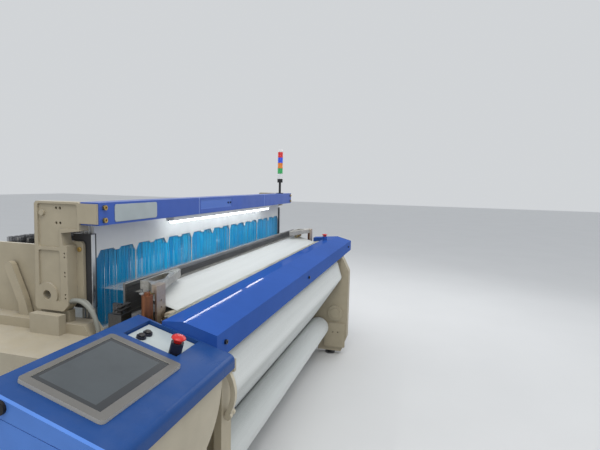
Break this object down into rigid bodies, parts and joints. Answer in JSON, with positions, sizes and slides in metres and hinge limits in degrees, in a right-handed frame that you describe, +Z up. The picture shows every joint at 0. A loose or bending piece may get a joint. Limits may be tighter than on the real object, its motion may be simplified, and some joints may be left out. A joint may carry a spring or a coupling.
{
  "type": "power loom",
  "caption": "Air-jet power loom with a console, heald frames, reed, temples, cloth roll, warp beam and covers; rollers, frames, sley, door and buttons move.",
  "frame": {"origin": "on the floor, at the middle of the loom's overall box", "axes": "+X to the weaver's right along the loom, +Y to the warp beam at the back, +Z up"},
  "size_m": [3.416, 1.6999, 1.642],
  "materials": {
    "beige_paint": "cast iron with beige enamel, semi-gloss, dusty in the corners",
    "panel_beige": "beige sheet metal, semi-gloss",
    "cream_paint": "cream enamel, worn",
    "beam_blue": "blue enamel with a lighter recessed field",
    "blue_paint": "glossy blue enamel that mirrors the lamp",
    "end_blue": "lighter blue enamel, semi-gloss",
    "white_paint": "white enamel",
    "plate_grey": "light grey plate, satin",
    "motor_grey": "grey machine enamel",
    "black_cover": "black textured cover",
    "dark_steel": "blackened steel, oily",
    "steel": "turned steel",
    "reed_steel": "fine steel dents, dull grey",
    "aluminium": "cast and extruded aluminium, satin",
    "temple_metal": "bare casting with a beige bracket and a copper solenoid",
    "rail_metal": "extruded rail, pale, with dark grooves",
    "heald_metal": "white frame with bright blue coated healds",
    "gold_steel": "yellow passivated screws",
    "brass": "brass rings with fine points",
    "guide_plastic": "dark guide plastic",
    "lamp_light": "frosted lamp tube, lit",
    "lens_plastic": "stacked signal lenses in red, blue, orange, green and white",
    "black_plastic": "black plastic",
    "red_plastic": "red push cap",
    "hub_plastic": "light grey hub with a black centre",
    "bezel_grey": "grey bezel",
    "screen_glass": "dark screen under glass",
    "grip_rubber": "gritty roller covering",
    "black_rubber": "black rubber",
    "cloth": "unbleached white plain weave",
    "yarn": "close white warp yarns"
  },
  "bodies": {
    "root": {"frame_left": "beige_paint", "frame_right": "beige_paint", "cross_girders": "beige_paint", "levelling_feet": "dark_steel", "column_left": "beige_paint", "column_right": "beige_paint", "heald_guides": "guide_plastic", "top_beam": "beam_blue", "name_plate": "plate_grey", "cover_bolts": "gold_steel", "lamp_housing": "white_paint", "lamp_tube": "lamp_light", "tower_base": "black_plastic", "tower_lenses": "lens_plastic", "temple_left": "temple_metal", "temple_right": "temple_metal", "cloth_rail": "rail_metal", "cloth": "cloth", "front_cover": "blue_paint", "console_top": "blue_paint", "cabinet_body": "panel_beige", "end_panel": "end_blue", "hmi_bezel": "bezel_grey", "hmi_screen": "screen_glass", "button_plate": "plate_grey", "end_cover": "blue_paint", "side_cover": "panel_beige", "shedding_box": "black_cover", "drive_housing": "panel_beige", "main_motor": "motor_grey", "drive_belt": "black_rubber", "drop_wires": "steel", "warp_sheet": "yarn"},
    "heald_1": {"heald_frame_1": "heald_metal"},
    "heald_2": {"heald_frame_2": "heald_metal"},
    "heald_3": {"heald_frame_3": "heald_metal"},
    "heald_4": {"heald_frame_4": "heald_metal"},
    "sley": {"sley": "aluminium", "reed": "reed_steel", "main_nozzle": "dark_steel"},
    "temple_ring_left": {"temple_ring_left": "brass"},
    "temple_ring_right": {"temple_ring_right": "brass"},
    "take_up": {"take_up_roller": "grip_rubber"},
    "press": {"press_roller": "black_rubber"},
    "guide": {"guide_roller": "dark_steel"},
    "cloth_roll": {"cloth_roll": "cloth", "roll_shaft": "steel"},
    "roll_lever": {"roll_lever": "cream_paint"},
    "cabinet_door": {"cabinet_door": "end_blue"},
    "start_button": {"start_button": "black_plastic"},
    "stop_button": {"stop_button": "black_plastic"},
    "emergency_stop_left": {"emergency_stop_left": "red_plastic"},
    "emergency_stop_right": {"emergency_stop_right": "red_plastic"},
    "waste_hub": {"waste_hub": "hub_plastic"},
    "drive_pulley": {"drive_pulley": "dark_steel"},
    "motor_pulley": {"motor_pulley": "dark_steel"},
    "warp_beam": {"warp_beam": "aluminium", "warp_yarn": "yarn"},
    "tension_levers": {"tension_levers": "dark_steel"},
    "back_roller": {"back_roller": "steel"}
  },
  "joints": [
    {"name": "heald_1_lift", "type": "slide", "parent": "root", "child": "heald_1", "axis": [0, 0, 1], "range_m": [-0.028, 0.028]},
    {"name": "heald_2_lift", "type": "slide", "parent": "root", "child": "heald_2", "axis": [0, 0, 1], "range_m": [-0.028, 0.028]},
    {"name": "heald_3_lift", "type": "slide", "parent": "root", "child": "heald_3", "axis": [0, 0, 1], "range_m": [-0.028, 0.028]},
    {"name": "heald_4_lift", "type": "slide", "parent": "root", "child": "heald_4", "axis": [0, 0, 1], "range_m": [-0.028, 0.028]},
    {"name": "sley_swing", "type": "hinge", "parent": "root", "child": "sley", "pos_m": [0, -0.38, 0.56], "axis": [1, 0, 0], "range_deg": [-5, 3.3]},
    {"name": "temple_left_spin", "type": "hinge", "parent": "root", "child": "temple_ring_left", "pos_m": [-0.968, -0.442, 0.9693], "axis": [1, 0, 0], "continuous": true},
    {"name": "temple_right_spin", "type": "hinge", "parent": "root", "child": "temple_ring_right", "pos_m": [0.968, -0.442, 0.9693], "axis": [1, 0, 0], "continuous": true},
    {"name": "take_up_spin", "type": "hinge", "parent": "root", "child": "take_up", "pos_m": [0, -0.635, 0.79], "axis": [1, 0, 0], "continuous": true},
    {"name": "press_spin", "type": "hinge", "parent": "root", "child": "press", "pos_m": [0, -0.73254, 0.75059], "axis": [1, 0, 0], "continuous": true},
    {"name": "guide_spin", "type": "hinge", "parent": "root", "child": "guide", "pos_m": [0, -0.758, 0.65], "axis": [1, 0, 0], "continuous": true},
    {"name": "roll_spin", "type": "hinge", "parent": "root", "child": "cloth_roll", "pos_m": [0, -0.619, 0.227], "axis": [1, 0, 0], "continuous": true},
    {"name": "roll_lever_swing", "type": "hinge", "parent": "root", "child": "roll_lever", "pos_m": [-1.11, -0.814, 0.78], "axis": [1, 0, 0], "range_deg": [-30, 0]},
    {"name": "cabinet_door_swing", "type": "hinge", "parent": "root", "child": "cabinet_door", "pos_m": [-1.704, -0.524, 0.5], "axis": [0, 0, 1], "range_deg": [-100, 0]},
    {"name": "start_press", "type": "slide", "parent": "root", "child": "start_button", "axis": [0, -0.2656, 0.9641], "range_m": [-0.003, 0], "stiffness_N_per_m": 400},
    {"name": "stop_press", "type": "slide", "parent": "root", "child": "stop_button", "axis": [0, -0.2656, 0.9641], "range_m": [-0.003, 0], "stiffness_N_per_m": 400},
    {"name": "emergency_left_press", "type": "slide", "parent": "root", "child": "emergency_stop_left", "axis": [0, -0.2656, 0.9641], "range_m": [-0.003, 0], "stiffness_N_per_m": 400},
    {"name": "emergency_right_press", "type": "slide", "parent": "root", "child": "emergency_stop_right", "axis": [0, 0, 1], "range_m": [-0.003, 0], "stiffness_N_per_m": 400},
    {"name": "waste_hub_spin", "type": "hinge", "parent": "root", "child": "waste_hub", "pos_m": [1.46, -0.56, 0.77], "axis": [1, 0, 0], "continuous": true},
    {"name": "drive_pulley_spin", "type": "hinge", "parent": "root", "child": "drive_pulley", "pos_m": [-1.25, -0.15, 0.52], "axis": [1, 0, 0], "continuous": true},
    {"name": "motor_pulley_spin", "type": "hinge", "parent": "root", "child": "motor_pulley", "pos_m": [-1.25, 0.15, 0.38], "axis": [1, 0, 0], "continuous": true},
    {"name": "warp_beam_spin", "type": "hinge", "parent": "root", "child": "warp_beam", "pos_m": [0, 0.45, 0.43], "axis": [1, 0, 0], "continuous": true},
    {"name": "tension_swing", "type": "hinge", "parent": "root", "child": "tension_levers", "pos_m": [0, 0.54, 0.905], "axis": [1, 0, 0], "range_deg": [-5, 5], "deforming": ["warp_sheet"]},
    {"name": "back_roller_spin", "type": "hinge", "parent": "tension_levers", "child": "back_roller", "pos_m": [0, 0.63, 0.98], "axis": [1, 0, 0], "continuous": true}
  ],
  "couplings": [
    {"joint": "heald_2_lift", "follows": "heald_1_lift", "ratio": -1},
    {"joint": "heald_3_lift", "follows": "heald_1_lift", "ratio": 1},
    {"joint": "heald_4_lift", "follows": "heald_1_lift", "ratio": -1},
    {"joint": "press_spin", "follows": "take_up_spin", "ratio": -2.6786},
    {"joint": "guide_spin", "follows": "take_up_spin", "ratio": -2.2059},
    {"joint": "roll_spin", "follows": "take_up_spin", "ratio": 0.9375},
    {"joint": "motor_pulley_spin", "follows": "drive_pulley_spin", "ratio": 2.4286}
  ]
}
